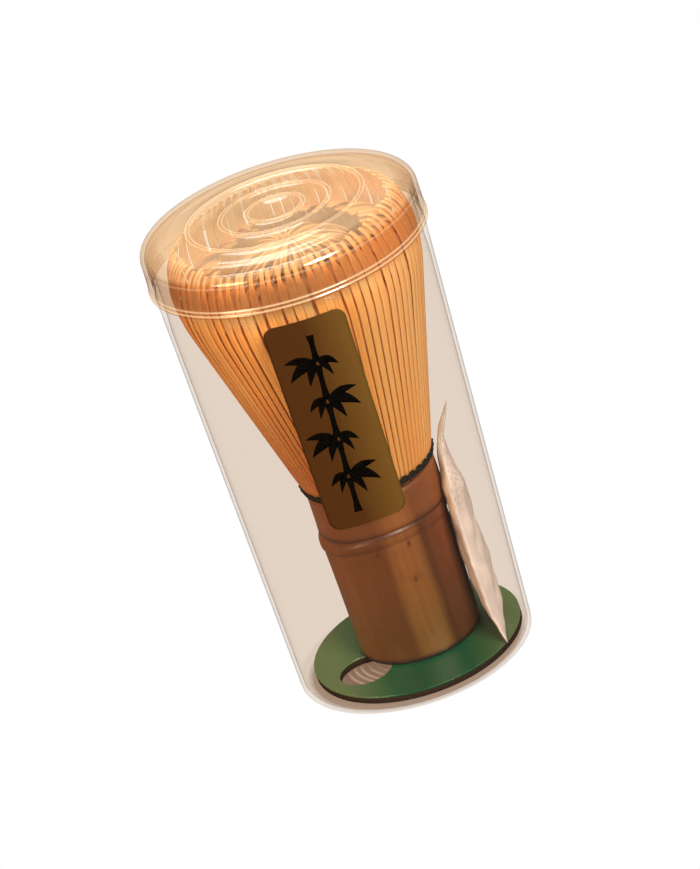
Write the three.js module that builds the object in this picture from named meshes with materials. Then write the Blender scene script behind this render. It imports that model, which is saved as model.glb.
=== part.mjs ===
// A bamboo tea whisk (chasen) of 80 outer tines, packed in its clear canister with a lid, a label,
// a green pad and a desiccant sachet. Millimetres, +Z up, origin at the centre of the canister's base.
import * as THREE from 'three';
import { mergeVertices } from 'three/addons/utils/BufferGeometryUtils.js';

// ---- Driving dimensions ----------------------------------------------------------------------

const GAP = 0.3; // clearance between pieces that touch on the real object
const ROUND_SEGMENTS = 48; // facets round the canister, the lid and the pad
const DEGREE = Math.PI / 180;

const TUBE_BASE_RADIUS = 27.7;
const TUBE_SHOULDER_RADIUS = 31.3; // widest, just under the lid
const TUBE_SHOULDER_Z = 104.4;
const TUBE_WALL = 0.8;
const TUBE_FLOOR = 0.7;
const TUBE_RIM_Z = 111.9;
const NECK_RADIUS = 30.8; // the stepped-in rim that the lid slides over
const FLOOR_RIDGE_RADII = [5, 10, 15]; // moulded rings on the inside of the floor
const FLOOR_RIDGE_HEIGHT = 0.25;

const LID_SKIRT_Z = 105.0;
const LID_RADIUS = 32.4; // at the bead round the bottom of the skirt
const LID_CORNER_RADIUS = 32.0;
const LID_BEAD = 0.2;
const LID_WALL = 0.8;
const LID_SHOULDER_Z = 114.8; // flat ring round the raised panel
const LID_PANEL_Z = 115.6;
const LID_PANEL_RADIUS = 24.6;
const LID_SHOULDER_INNER_RADIUS = 27.3;
const LID_RING_RADII = [6.6, 12.6, 20.2]; // raised rings on the panel
const LID_RING_HALF_WIDTH = 0.8;
const LID_RING_HEIGHT = 0.3;

const LABEL_WIDTH = 18.4;
const LABEL_HEIGHT = 52;
const LABEL_CENTRE_Z = 75.2;
const LABEL_AZIMUTH = -2.6; // degrees from the front, -Y
const LABEL_TILT = 0.75; // degrees, its top leaning to -X
const LABEL_CORNER = 2.6;
const LABEL_THICKNESS = 0.25;

const WHISK_FOOT = new THREE.Vector3(2.2, 2.2, 3.5); // centre of the handle's lower end
const WHISK_HEAD = new THREE.Vector3(0.6, 0.2, 113); // where its axis reaches the tips

const HANDLE_FOOT_RADIUS = 14.4;
const HANDLE_NODE_RADIUS = 15.3;
const HANDLE_NODE_Z = 32.2;
const HANDLE_TOP_Z = 42.9;
const HANDLE_TOP_RADIUS = 15.2;
const HANDLE_BORE_RADIUS = 11.2;
const DIAPHRAGM_Z = 30.5;
const DIAPHRAGM_THICKNESS = 3;

const COMB_COUNT = 16; // wedges that the culm is split into
const TINES_PER_COMB = 5;
const TINE_PITCH = 360 / (COMB_COUNT * TINES_PER_COMB); // degrees
const COMB_ROOT_Z = HANDLE_TOP_Z + GAP;
const TINE_SPLIT_Z = 47.4;
const TINE_TIP_Z = 109.3;
const CROWN_ROOT_RADIUS = 14.85; // outer face of the tines, pinched in under the thread
const FLARE_START_RADIUS = 15.12; // where the straight flare would start without the pinch
const FLARE_SLOPE = 0.261; // growth of radius for each millimetre of height
const FLARE_END_Z = 90; // above this the tines bend upright
const CROWN_WIDEST_Z = 99.5;
const CURL_CENTRE_RADIUS = 23.4; // the tines' ends turn over round this radius
const CURL_TURNS = [25, 50, 75, 98, 118]; // degrees along the turned-over end
const CROWN_LEAN = 0.6; // degrees that the crown leans to -X, more than the handle does
const CROWN_SHIFT = 0.93; // and how far its axis stands to +X at the handle's foot
const TINE_ROOT_HALF_ANGLE = 1.7; // degrees
const TINE_TIP_HALF_ANGLE = 1.15;
const TINE_ROOT_THICKNESS = 1.4;
const TINE_TIP_THICKNESS = 0.5;

const CORE_ROOT_RADIUS = 13; // the ring of inner tines
const CORE_NARROWING = 0.55; // share of its radius that the bundle loses at its top
const CORE_BULGE = 2;
const CORE_TOP_Z = 105;
const CORE_WALL = 0.9;
const CORE_FLUTES = 10;

const THREAD_RADIUS = 0.3;
const THREAD_TURNS = 3;
const THREAD_PITCH = 0.7;
const THREAD_START_Z = 43.8;

const PAD_RADIUS = 24.8;
const PAD_CENTRE = [-1.25, -2.2]; // from the whisk's axis
const PAD_HOLE_RADIUS = 6.3;
const PAD_HOLE_CENTRE = [-14.6, -9.4]; // from the whisk's axis
const CARD_THICKNESS = 0.3;
const BOARD_THICKNESS = 0.7;

const SACHET_WIDTH = 26;
const SACHET_HEIGHT = 57;
const SACHET_SHEET = 0.3;
const SACHET_FOOT = new THREE.Vector3(20.2, -2.4, 4.6); // middle of its lower edge
const SACHET_LEAN = 2.8; // degrees, its top leaning to +X
const SACHET_SWING = 4; // degrees, its top leaning to +Y
const FILM_BULGE = 1.7;
const PAPER_BULGE = 0.8;

// ---- Helpers ---------------------------------------------------------------------------------

const canister = new THREE.Group();

function signedVolume(geometry) {
  const index = geometry.index.array;
  const position = geometry.attributes.position;
  const [a, b, c] = [new THREE.Vector3(), new THREE.Vector3(), new THREE.Vector3()];
  let volume = 0;
  for (let i = 0; i < index.length; i += 3) {
    a.fromBufferAttribute(position, index[i]);
    b.fromBufferAttribute(position, index[i + 1]);
    c.fromBufferAttribute(position, index[i + 2]);
    volume += a.dot(b.cross(c)) / 6;
  }
  return volume;
}

// Merges the shared vertices, drops triangles with no area and turns the faces outward.
function closedBody(source) {
  const geometry = source.clone();
  geometry.deleteAttribute('normal');
  geometry.deleteAttribute('uv');
  const merged = mergeVertices(geometry, 1e-4);
  const old = merged.index.array;
  const outward = signedVolume(merged) > 0;
  const index = [];
  for (let i = 0; i < old.length; i += 3) {
    const [a, b, c] = [old[i], old[i + 1], old[i + 2]];
    if (a === b || b === c || c === a) continue;
    index.push(a, outward ? b : c, outward ? c : b);
  }
  merged.setIndex(index);
  merged.computeVertexNormals();
  return merged;
}

function addPiece(parent, name, geometry, colour, roughness) {
  const material = new THREE.MeshStandardMaterial({ color: colour, roughness, metalness: 0 });
  const mesh = new THREE.Mesh(closedBody(geometry), material);
  mesh.name = name;
  parent.add(mesh);
  return mesh;
}

// Turns a profile of [radius, height] points about the Z axis.
function turned(profile, segments = ROUND_SEGMENTS) {
  const points = profile.map(([radius, height]) => new THREE.Vector2(radius, height));
  return new THREE.LatheGeometry(points, segments).rotateX(Math.PI / 2);
}

function mapVertices(geometry, place) {
  const position = geometry.attributes.position;
  const point = new THREE.Vector3();
  for (let i = 0; i < position.count; i += 1) {
    place(point.fromBufferAttribute(position, i));
    position.setXYZ(i, point.x, point.y, point.z);
  }
  return geometry;
}

// Points round a corner of the given centre, from one angle to another, in degrees.
function cornerArc(centreX, centreY, radius, from, to, steps) {
  return Array.from({ length: steps + 1 }, (_, i) => {
    const angle = (from + ((to - from) * i) / steps) * DEGREE;
    return [centreX + radius * Math.cos(angle), centreY + radius * Math.sin(angle)];
  });
}

// ---- Canister --------------------------------------------------------------------------------

function tubeRadius(z) {
  return TUBE_BASE_RADIUS + ((TUBE_SHOULDER_RADIUS - TUBE_BASE_RADIUS) * z) / TUBE_SHOULDER_Z;
}

function makeTube() {
  const foot = 1.2; // radius of the rounded edge round the base
  const ridges = FLOOR_RIDGE_RADII.flatMap((radius) => [
    [radius + 0.6, TUBE_FLOOR],
    [radius, TUBE_FLOOR + FLOOR_RIDGE_HEIGHT],
    [radius - 0.6, TUBE_FLOOR],
  ]);
  ridges.sort((a, b) => b[0] - a[0]);
  const profile = [
    [0, 0],
    ...cornerArc(TUBE_BASE_RADIUS - foot, foot, foot, -90, 0, 3),
    [TUBE_SHOULDER_RADIUS, TUBE_SHOULDER_Z - 0.3],
    [NECK_RADIUS, TUBE_SHOULDER_Z],
    [NECK_RADIUS, TUBE_RIM_Z],
    [NECK_RADIUS - TUBE_WALL, TUBE_RIM_Z],
    [NECK_RADIUS - TUBE_WALL, TUBE_SHOULDER_Z - 1],
    [TUBE_BASE_RADIUS - TUBE_WALL, foot + 0.3],
    [TUBE_BASE_RADIUS - TUBE_WALL - 0.7, TUBE_FLOOR],
    ...ridges,
    [0, TUBE_FLOOR],
  ];
  addPiece(canister, 'tube', turned(profile), 0xe6d6ca, 0.08);
}

function makeLid() {
  const corner = 2.4;
  const cornerZ = LID_SHOULDER_Z - corner;
  const outer = [
    [LID_RADIUS, LID_SKIRT_Z],
    [LID_RADIUS, LID_SKIRT_Z + 1],
    [LID_RADIUS - LID_BEAD, LID_SKIRT_Z + 1.3],
    ...cornerArc(LID_CORNER_RADIUS - corner, cornerZ, corner, 0, 90, 3),
    [LID_SHOULDER_INNER_RADIUS, LID_SHOULDER_Z],
    [LID_PANEL_RADIUS, LID_PANEL_Z],
  ];
  for (const radius of [...LID_RING_RADII].reverse()) {
    outer.push([radius + LID_RING_HALF_WIDTH, LID_PANEL_Z]);
    outer.push([radius, LID_PANEL_Z + LID_RING_HEIGHT]);
    outer.push([radius - LID_RING_HALF_WIDTH, LID_PANEL_Z]);
  }
  outer.push([0, LID_PANEL_Z]);
  const bore = NECK_RADIUS + 0.35;
  const inner = [
    [0, LID_PANEL_Z - LID_WALL],
    [LID_PANEL_RADIUS, LID_PANEL_Z - LID_WALL],
    [LID_SHOULDER_INNER_RADIUS, LID_SHOULDER_Z - LID_WALL],
    [bore - 1.6, LID_SHOULDER_Z - LID_WALL],
    [bore, cornerZ + 0.3],
    [bore, LID_SKIRT_Z],
    [LID_RADIUS, LID_SKIRT_Z],
  ];
  addPiece(canister, 'lid', turned([...inner, ...outer.slice(1)]), 0xf2e2d4, 0.08);
}

// A thin sheet wrapped on the tube, with rounded corners.
function makeLabel() {
  const rows = 12;
  const columns = 6;
  const cornerRows = 3;
  const halfHeight = LABEL_HEIGHT / 2;
  const halfWidth = LABEL_WIDTH / 2;
  const sheet = new THREE.BoxGeometry(2, LABEL_THICKNESS, 2, columns, 1, rows);
  const straight = halfHeight - LABEL_CORNER;
  mapVertices(sheet, (p) => {
    const row = Math.round(((1 - Math.abs(p.z)) * rows) / 2);
    let height = straight * (Math.abs(p.z) / (1 - (2 * cornerRows) / rows));
    let inset = 0;
    if (row < cornerRows) {
      const angle = ((cornerRows - row) / cornerRows) * 90 * DEGREE;
      height = straight + LABEL_CORNER * Math.sin(angle);
      inset = LABEL_CORNER * (1 - Math.cos(angle));
    }
    const across = p.x * (halfWidth - inset);
    const up = Math.sign(p.z) * height;
    const z = LABEL_CENTRE_Z + up;
    const radius = tubeRadius(z) + GAP + LABEL_THICKNESS / 2 - p.y;
    const shifted = across - up * Math.sin(LABEL_TILT * DEGREE);
    const azimuth = LABEL_AZIMUTH * DEGREE + shifted / tubeRadius(LABEL_CENTRE_Z);
    p.set(radius * Math.sin(azimuth), -radius * Math.cos(azimuth), z);
  });
  addPiece(canister, 'label', sheet, 0x6e5028, 0.4);
}

// ---- Whisk -----------------------------------------------------------------------------------

const whisk = new THREE.Group();
whisk.position.copy(WHISK_FOOT);
whisk.quaternion.setFromUnitVectors(
  new THREE.Vector3(0, 0, 1),
  WHISK_HEAD.clone().sub(WHISK_FOOT).normalize(),
);
canister.add(whisk);

// The crown of tines. A culm grows crooked at its node, so the crown has a lean of its own.
const crown = new THREE.Group();
crown.position.x = CROWN_SHIFT;
crown.rotation.y = -CROWN_LEAN * DEGREE;
crown.updateMatrix();
whisk.add(crown);

// Radius of the outer face of the outer tines, up to their widest.
function crownRadius(z) {
  if (z < TINE_SPLIT_Z) {
    const share = (z - COMB_ROOT_Z) / (TINE_SPLIT_Z - COMB_ROOT_Z);
    return CROWN_ROOT_RADIUS + (crownRadius(TINE_SPLIT_Z) - CROWN_ROOT_RADIUS) * share;
  }
  const straight = FLARE_START_RADIUS + FLARE_SLOPE * (z - COMB_ROOT_Z);
  const past = Math.max(0, z - FLARE_END_Z);
  return straight - (FLARE_SLOPE * past ** 2) / (2 * (CROWN_WIDEST_Z - FLARE_END_Z));
}

function makeHandle() {
  const node = HANDLE_NODE_Z;
  const profile = [
    [0, DIAPHRAGM_Z],
    [HANDLE_BORE_RADIUS - 1, DIAPHRAGM_Z],
    [HANDLE_BORE_RADIUS, DIAPHRAGM_Z - 1.2],
    [HANDLE_BORE_RADIUS, 0.3],
    [HANDLE_BORE_RADIUS + 0.3, 0],
    [HANDLE_FOOT_RADIUS - 0.4, 0],
    [HANDLE_FOOT_RADIUS, 0.5],
    [HANDLE_FOOT_RADIUS + 0.3, node - 6],
    [HANDLE_NODE_RADIUS - 0.3, node - 1.4],
    [HANDLE_NODE_RADIUS, node - 0.5],
    [HANDLE_NODE_RADIUS, node + 0.6],
    [HANDLE_NODE_RADIUS - 0.5, node + 1.1],
    [HANDLE_NODE_RADIUS - 0.1, node + 1.9],
    [HANDLE_TOP_RADIUS - 0.2, node + 5],
    [HANDLE_TOP_RADIUS, HANDLE_TOP_Z],
    [HANDLE_BORE_RADIUS + 0.6, HANDLE_TOP_Z],
    [HANDLE_BORE_RADIUS, DIAPHRAGM_Z + DIAPHRAGM_THICKNESS + 1.2],
    [HANDLE_BORE_RADIUS - 1, DIAPHRAGM_Z + DIAPHRAGM_THICKNESS],
    [0, DIAPHRAGM_Z + DIAPHRAGM_THICKNESS],
  ];
  const culm = mapVertices(turned(profile, 36), (p) => {
    const bent = p.clone().applyMatrix4(crown.matrix);
    p.lerp(bent, THREE.MathUtils.smoothstep(p.z, node + 0.8, node + 2));
  });
  addPiece(whisk, 'handle', culm, 0x8a5a2c, 0.45);
}

// Stations up the outer face of a tine: radius, height, the direction that faces out, and the
// share of the way up. The last ones turn over into the curled end.
function tineStations() {
  const span = TINE_TIP_Z - TINE_SPLIT_Z;
  const rising = [TINE_SPLIT_Z, FLARE_END_Z, CROWN_WIDEST_Z].map((z) => {
    const slope = FLARE_SLOPE * Math.min(1, (CROWN_WIDEST_Z - z) / (CROWN_WIDEST_Z - FLARE_END_Z));
    const out = new THREE.Vector2(1, -slope).normalize();
    return { radius: crownRadius(z), z, out, share: (z - TINE_SPLIT_Z) / span };
  });
  const reach = crownRadius(CROWN_WIDEST_Z) - CURL_CENTRE_RADIUS;
  const rise = TINE_TIP_Z - CROWN_WIDEST_Z;
  const turning = CURL_TURNS.map((turn) => {
    const [cos, sin] = [Math.cos(turn * DEGREE), Math.sin(turn * DEGREE)];
    const out = new THREE.Vector2(cos / reach, sin / rise).normalize();
    return { radius: CURL_CENTRE_RADIUS + reach * cos, z: CROWN_WIDEST_Z + rise * sin, out, share: 1 };
  });
  return [...rising, ...turning];
}

// One wedge of the culm, split into five tines above its root: a block with a tine standing on
// each fifth of it. Every edge is a pair of points, on the outer and on the inner face.
function combGeometry() {
  const positions = [];
  const edge = (angle, { radius, z, out }, thickness) => {
    const at = (r, height) => [
      r * Math.cos(angle * DEGREE),
      r * Math.sin(angle * DEGREE),
      height,
    ];
    return {
      outer: at(radius, z),
      inner: at(radius - out.x * thickness, z - out.y * thickness),
    };
  };
  const quad = (a, b, c, d) => positions.push(...a, ...b, ...c, ...a, ...c, ...d);
  const wall = (low, high, nextLow, nextHigh) => {
    quad(low.outer, nextLow.outer, nextHigh.outer, high.outer);
    quad(nextLow.inner, low.inner, high.inner, nextHigh.inner);
  };
  const side = (low, high) => quad(low.inner, low.outer, high.outer, high.inner);
  const top = (left, right) => quad(left.outer, right.outer, right.inner, left.inner);

  const stations = tineStations();
  const root = { radius: CROWN_ROOT_RADIUS, z: COMB_ROOT_Z, out: new THREE.Vector2(1, 0) };
  const foot = { ...stations[0], out: root.out };
  const roots = [];
  for (let tine = 0; tine < TINES_PER_COMB; tine += 1) {
    const centre = (tine - (TINES_PER_COMB - 1) / 2) * TINE_PITCH;
    const [lefts, rights] = [-1, 1].map((hand) =>
      stations.map((station, i) => {
        const narrowing = (TINE_ROOT_HALF_ANGLE - TINE_TIP_HALF_ANGLE) * station.share;
        const angle = centre + hand * (TINE_ROOT_HALF_ANGLE - narrowing);
        return edge(angle, i ? station : foot, i ? TINE_TIP_THICKNESS : TINE_ROOT_THICKNESS);
      }),
    );
    for (let i = 0; i + 1 < stations.length; i += 1) {
      wall(lefts[i], lefts[i + 1], rights[i], rights[i + 1]);
      side(lefts[i], lefts[i + 1]);
      side(rights[i + 1], rights[i]);
    }
    top(lefts[stations.length - 1], rights[stations.length - 1]);
    for (const [i, upper] of [lefts[0], rights[0]].entries()) {
      const angle = centre + (2 * i - 1) * TINE_ROOT_HALF_ANGLE;
      roots.push([edge(angle, root, TINE_ROOT_THICKNESS), upper]);
    }
  }
  side(roots[0][0], roots[0][1]);
  side(roots[roots.length - 1][1], roots[roots.length - 1][0]);
  for (let i = 0; i + 1 < roots.length; i += 1) {
    const [left, right] = [roots[i], roots[i + 1]];
    wall(left[0], left[1], right[0], right[1]);
    top(right[0], left[0]);
    if (i % 2 === 1) top(left[1], right[1]);
  }
  const soup = new THREE.BufferGeometry();
  soup.setAttribute('position', new THREE.Float32BufferAttribute(positions, 3));
  return mergeVertices(soup, 1e-4);
}

function makeOuterTines() {
  for (let comb = 0; comb < COMB_COUNT; comb += 1) {
    const name = `outer_tines_${String(comb + 1).padStart(2, '0')}`;
    const mesh = addPiece(crown, name, combGeometry(), 0xe09a4c, 0.55);
    mesh.rotation.z = ((comb * 360) / COMB_COUNT) * DEGREE;
  }
}

// The inner tines, drawn together to a hollow core: a fluted shell, open at the bottom.
function makeInnerTines() {
  const levels = 7;
  const outer = [];
  const inner = [];
  for (let level = 0; level <= levels; level += 1) {
    const share = level / levels;
    const z = COMB_ROOT_Z + (CORE_TOP_Z - COMB_ROOT_Z) * share;
    const narrowed = CORE_ROOT_RADIUS * (1 - CORE_NARROWING * share ** 3);
    const radius = narrowed + CORE_BULGE * Math.sin(share * Math.PI);
    outer.push([radius, z]);
    inner.push([radius - CORE_WALL, level === levels ? z - 1.5 : z]);
  }
  const profile = [[0, CORE_TOP_Z - 1.5], ...inner.reverse(), ...outer, [0, CORE_TOP_Z + 0.5]];
  const shell = mapVertices(turned(profile, 4 * CORE_FLUTES), (p) => {
    const flute = 1 + 0.025 * Math.cos(CORE_FLUTES * Math.atan2(p.y, p.x));
    p.x *= flute;
    p.y *= flute;
  });
  addPiece(crown, 'inner_tines', shell, 0xeab46c, 0.55);
}

// One length of black thread, wound round the roots of the outer tines.
function makeThread() {
  class ThreadCurve extends THREE.Curve {
    getPoint(share, target = new THREE.Vector3()) {
      const angle = share * THREAD_TURNS * 2 * Math.PI;
      const z = THREAD_START_Z + share * THREAD_TURNS * THREAD_PITCH;
      const radius = crownRadius(z) + GAP + THREAD_RADIUS;
      return target.set(radius * Math.cos(angle), radius * Math.sin(angle), z);
    }
  }
  const sides = 6;
  const section = new THREE.Shape(
    Array.from({ length: sides }, (_, i) => {
      const angle = (i * 2 * Math.PI) / sides;
      return new THREE.Vector2(THREAD_RADIUS * Math.cos(angle), THREAD_RADIUS * Math.sin(angle));
    }),
  );
  const steps = THREAD_TURNS * 18;
  const wound = new THREE.ExtrudeGeometry(section, { steps, extrudePath: new ThreadCurve() });
  addPiece(crown, 'binding_thread', wound, 0x2a2622, 0.8);
}

// ---- Pad under the whisk ---------------------------------------------------------------------

function makePadLayer(name, top, thickness, colour) {
  const outline = new THREE.Shape();
  outline.absarc(PAD_CENTRE[0], PAD_CENTRE[1], PAD_RADIUS, 0, 2 * Math.PI, false);
  const hole = new THREE.Path();
  hole.absarc(PAD_HOLE_CENTRE[0], PAD_HOLE_CENTRE[1], PAD_HOLE_RADIUS, 0, 2 * Math.PI, true);
  outline.holes.push(hole);
  const layer = new THREE.ExtrudeGeometry(outline, {
    depth: thickness,
    steps: 1,
    curveSegments: 18,
    bevelEnabled: false,
  });
  addPiece(whisk, name, layer.translate(0, 0, top - thickness), colour, 0.3);
}

function makePad() {
  makePadLayer('green_card', -GAP, CARD_THICKNESS, 0x1f6b3f);
  makePadLayer('backing_board', -2 * GAP - CARD_THICKNESS, BOARD_THICKNESS, 0x33241b);
}

// ---- Desiccant sachet ------------------------------------------------------------------------

const sachet = new THREE.Group();
sachet.position.copy(SACHET_FOOT);
sachet.rotation.set(-SACHET_SWING * DEGREE, SACHET_LEAN * DEGREE, 0);
canister.add(sachet);

// One face sheet of the sachet, swelling to the side given by the sign of bulge.
function makeSachetSheet(name, bulge, colour) {
  const sheet = new THREE.BoxGeometry(SACHET_SHEET, SACHET_WIDTH, SACHET_HEIGHT, 1, 6, 8);
  const side = Math.sign(bulge);
  mapVertices(sheet, (p) => {
    const across = 1 - ((2 * p.y) / SACHET_WIDTH) ** 2;
    const along = 1 - ((2 * p.z) / SACHET_HEIGHT) ** 2;
    p.x += side * (GAP / 2 + SACHET_SHEET / 2) + bulge * across * along;
    p.z += SACHET_HEIGHT / 2;
  });
  addPiece(sachet, name, sheet, colour, 0.5);
}

function makeSachet() {
  makeSachetSheet('sachet_paper', PAPER_BULGE, 0xf0e6da);
  makeSachetSheet('sachet_film', -FILM_BULGE, 0xd8c8c0);
  const gel = new THREE.SphereGeometry(1, 16, 10).scale(0.8, 9, 18).translate(-0.45, 0, 24);
  addPiece(sachet, 'silica_gel', gel, 0xf4f0ea, 0.3);
}

// ---- Assembly --------------------------------------------------------------------------------

makeTube();
makeLid();
makeLabel();
makeHandle();
makeOuterTines();
makeInnerTines();
makeThread();
makePad();
makeSachet();

export default canister;
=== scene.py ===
"""A bamboo tea whisk packed in its clear canister: the looks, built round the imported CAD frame."""
import math
import random

import bpy
import numpy as np
from mathutils import Matrix, Vector


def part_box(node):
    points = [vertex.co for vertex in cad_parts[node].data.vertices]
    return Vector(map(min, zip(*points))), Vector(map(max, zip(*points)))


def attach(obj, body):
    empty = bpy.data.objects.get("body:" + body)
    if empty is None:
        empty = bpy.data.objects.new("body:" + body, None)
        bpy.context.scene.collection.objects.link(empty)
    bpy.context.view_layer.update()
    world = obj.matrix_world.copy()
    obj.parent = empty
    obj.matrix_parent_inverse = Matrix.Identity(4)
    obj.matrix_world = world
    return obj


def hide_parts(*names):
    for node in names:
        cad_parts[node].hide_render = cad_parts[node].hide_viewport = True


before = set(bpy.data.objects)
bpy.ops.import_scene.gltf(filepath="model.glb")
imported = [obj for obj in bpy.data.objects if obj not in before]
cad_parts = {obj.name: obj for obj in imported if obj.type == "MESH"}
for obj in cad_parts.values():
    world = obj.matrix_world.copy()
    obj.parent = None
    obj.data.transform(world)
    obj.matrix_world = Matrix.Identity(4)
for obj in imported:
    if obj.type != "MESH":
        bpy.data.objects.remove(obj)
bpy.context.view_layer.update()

MM = 0.001  # shapes are written in millimetres and stored in metres
DEGREE = math.pi / 180
FULL_TURN = 2 * math.pi
CANISTER_SIDES = 192  # how many flat facets go round the tube and the lid

# ---- Driving dimensions, in millimetres and degrees ----

TUBE_BASE_RADIUS = 27.7
TUBE_SHOULDER_RADIUS = 31.3
TUBE_SHOULDER_Z = 104.4
TUBE_WALL = 0.8
TUBE_FLOOR = 0.7
TUBE_RIM_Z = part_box("tube")[1][2] / MM
NECK_RADIUS = 30.8
FLOOR_RIDGE_RADII = (5, 10, 15)
FLOOR_RIDGE_HEIGHT = 0.28
FLOOR_DIM_RADIUS = 25.2
FOOT_TOP_Z = 1.4

LID_SKIRT_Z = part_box("lid")[0][2] / MM
LID_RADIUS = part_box("lid")[1][0] / MM
LID_CORNER_RADIUS = 32.0
LID_WALL = 0.8
LID_SHOULDER_Z = 114.8
LID_CORNER = 2.4
LID_CORNER_Z = LID_SHOULDER_Z - LID_CORNER
LID_PANEL_Z = 115.6
LID_PANEL_RADIUS = 24.6
LID_SHOULDER_INNER_RADIUS = 27.3
LID_RING_RADII = (6.6, 12.6, 20.2)
LID_RING_HALF_WIDTH = 0.9
LID_RING_HEIGHT = 0.3
LID_DIM_RADIUS = 28

LABEL_WIDTH = 18.4
LABEL_HEIGHT = 52
LABEL_CENTRE_Z = 75.2
LABEL_AZIMUTH = -2.6
LABEL_TILT = 0.75
LABEL_CORNER = 2.6

WHISK_FOOT = Vector((2.2, 2.2, 3.5))
WHISK_HEAD = Vector((0.6, 0.2, 113))
HANDLE_FOOT_RADIUS = 14.4
HANDLE_NODE_RADIUS = 15.3
HANDLE_NODE_Z = 32.2
HANDLE_TOP_Z = 42.9
HANDLE_TOP_RADIUS = 15.2
HANDLE_BORE_RADIUS = 11.2
DIAPHRAGM_Z = 30.5

COMB_COUNT = 16
TINES_PER_COMB = 5
TINE_COUNT = COMB_COUNT * TINES_PER_COMB
TINE_ROOT_Z = 43.2
TINE_TIP_Z = 109.3
TINE_SPLIT_Z = 47.4
CROWN_ROOT_RADIUS = 14.85
FLARE_START_RADIUS = 15.12
FLARE_SLOPE = 0.261
FLARE_END_Z = 90
CROWN_WIDEST_Z = 99.5
CURL_CENTRE_RADIUS = 23.4
CROWN_LEAN = 0.6
CROWN_SHIFT = 0.93
CORE_ROOT_RADIUS = 13
CORE_BULGE = 2
CORE_TOP_Z = 105
THREAD_TURNS = 3
THREAD_RADIUS = 0.36

PAD_RADIUS = 24.8
PAD_CENTRE = (-1.25, -2.2)
PAD_HOLE_RADIUS = 6.3
PAD_HOLE_CENTRE = (-14.6, -9.4)
CARD_TOP_Z = -0.08  # below the whisk's foot
CARD_BOTTOM_Z = -0.5
BOARD_TOP_Z = -0.52
BOARD_BOTTOM_Z = -1.9

SACHET_HEIGHT = 53
SACHET_FOOT = Vector((20.2, -2.4, 4.6))
SACHET_LEAN = 2.8
SACHET_SWING = 4
SHEET_THICKNESS = 0.14

# The culm's outer face on the sachet's side, with its node and the bend above it.
CULM_HEIGHTS = (0, 8, 26, 28, 29.5, 32.5, 33.3, 36, 43)
CULM_RADII = (14.45, 14.6, 14.85, 15.0, 15.42, 15.45, 16.0, 15.97, 15.8)

# ---- Camera, light and floor ----


def make_camera():
    """A long lens looking down at the canister, rolled so that the canister leans left."""
    target = Vector((0.0006, 0, 0.0575))
    distance, elevation, roll = 1.1025, 24.62 * DEGREE, -17.82 * DEGREE
    data = bpy.data.cameras.new("camera")
    data.lens, data.sensor_width = 202.0, 36.0
    camera = bpy.data.objects.new("camera", data)
    bpy.context.collection.objects.link(camera)
    back = Vector((0, -math.cos(elevation), math.sin(elevation)))
    facing = (-back).to_track_quat("-Z", "Y").to_matrix()
    rolled = facing @ Matrix.Rotation(roll, 3, "Z")
    camera.matrix_world = Matrix.Translation(target + back * distance) @ rolled.to_4x4()
    bpy.context.scene.camera = camera


def add_area_light(name, place, target, size, power, colour=(1, 1, 1)):
    data = bpy.data.lights.new(name, "AREA")
    data.shape, data.size, data.energy, data.color = "DISK", size, power, colour
    light = bpy.data.objects.new(name, data)
    bpy.context.collection.objects.link(light)
    aim = (Vector(target) - Vector(place)).to_track_quat("-Z", "Y")
    light.matrix_world = Matrix.Translation(place) @ aim.to_matrix().to_4x4()


def background(tree, colour, strength):
    node = tree.nodes.new("ShaderNodeBackground")
    node.inputs["Color"].default_value = (*colour, 1)
    node.inputs["Strength"].default_value = strength
    return node.outputs[0]


def make_world():
    """White to look at, a warm room to be lit by, and a dim one to be mirrored."""
    world = bpy.data.worlds.new("world")
    bpy.context.scene.world = world
    world.use_nodes = True
    tree = world.node_tree
    tree.nodes.clear()
    ray = tree.nodes.new("ShaderNodeLightPath")
    shown = background(tree, (1, 0.9, 0.78), 0.65)
    for kind, colour, strength in (("Is Glossy Ray", (1, 0.88, 0.78), 0.12),
                                   ("Is Camera Ray", (1, 1, 1), 1.0)):
        mix = tree.nodes.new("ShaderNodeMixShader")
        tree.links.new(ray.outputs[kind], mix.inputs[0])
        tree.links.new(shown, mix.inputs[1])
        tree.links.new(background(tree, colour, strength), mix.inputs[2])
        shown = mix.outputs[0]
    output = tree.nodes.new("ShaderNodeOutputWorld")
    tree.links.new(shown, output.inputs["Surface"])


def white_floor():
    """Pure white to look at, but only a dim warm glow on whatever stands on it."""
    s = Shader("floor")
    shown, glow = s.node("ShaderNodeEmission"), s.node("ShaderNodeEmission")
    glow.inputs["Color"].default_value = (1, 0.88, 0.76, 1)
    glow.inputs["Strength"].default_value = 0.22
    seen = s.node("ShaderNodeLightPath").outputs["Is Camera Ray"]
    return s.finish(s.blend(seen, glow.outputs[0], shown.outputs[0]))


def make_stage():
    make_world()
    add_area_light("key_light", (0.45, -1.0, 0.8), (0, 0, 0.06), 0.6, 26, (1, 0.95, 0.88))
    add_area_light("fill_light", (-0.9, -0.7, 0.35), (0, 0, 0.06), 0.6, 12, (1, 0.7, 0.45))
    add_area_light("top_light", (-0.08, 0.6, 1.08), (0, 0, 0.1), 0.55, 7, (1, 0.97, 0.92))
    bpy.ops.mesh.primitive_plane_add(size=30, location=(0, 0, 0))
    floor = bpy.context.object
    floor.name = "floor"
    floor.data.materials.append(white_floor())
    scene = bpy.context.scene
    scene.view_settings.view_transform = "Standard"
    scene.cycles.transparent_max_bounces = 40
    scene.cycles.max_bounces = 10


# ---- Shader building ----


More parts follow.
